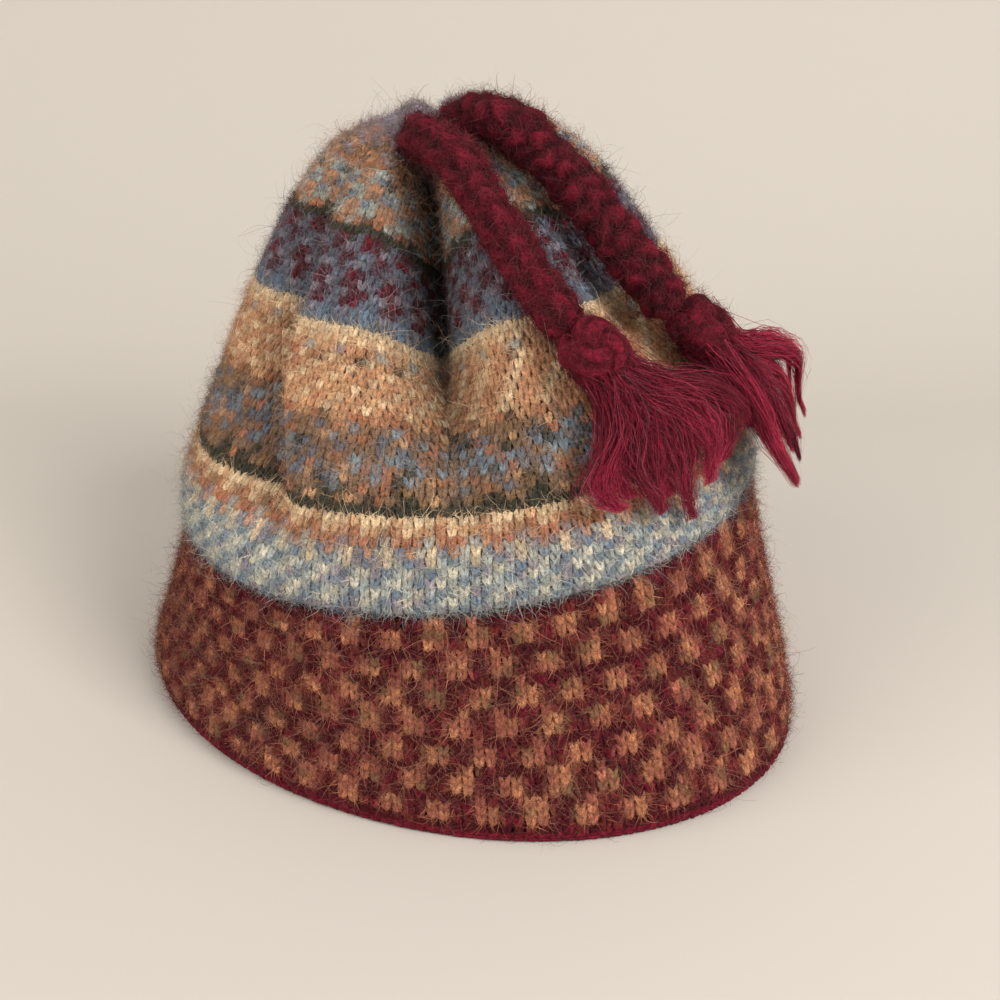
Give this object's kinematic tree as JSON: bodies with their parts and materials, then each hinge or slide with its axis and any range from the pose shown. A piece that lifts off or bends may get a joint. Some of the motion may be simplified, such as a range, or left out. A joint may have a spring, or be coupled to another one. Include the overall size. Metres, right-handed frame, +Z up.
{
  "type": "knitted beanie",
  "caption": "Knitted wool beanie with a flared cuff, a banded crown gathered into folds at the top, and knotted drawcord ends with tassels.",
  "frame": {"origin": "middle of the rim, in the plane that the rim rests on", "axes": "+Z up through the crown, +X along the long way of the oval, front facing -Y"},
  "size_m": [0.216, 0.1691, 0.1805],
  "materials": {
    "cuff_wool": "brushed stranded knit, maroon ground with ochre, rust and olive dots",
    "crown_wool": "brushed stranded knit in bands of grey-blue, tan, brown, slate and orange",
    "cord_wool": "felted crimson knit cord with a long nap",
    "tassel_wool": "loose crimson yarn ends"
  },
  "bodies": {
    "root": {"cuff": "cuff_wool", "crown": "crown_wool", "cord_front": "cord_wool", "knot_front": "cord_wool", "tassel_front": "tassel_wool", "cord_back": "cord_wool", "knot_back": "cord_wool", "tassel_back": "tassel_wool"}
  },
  "joints": []
}
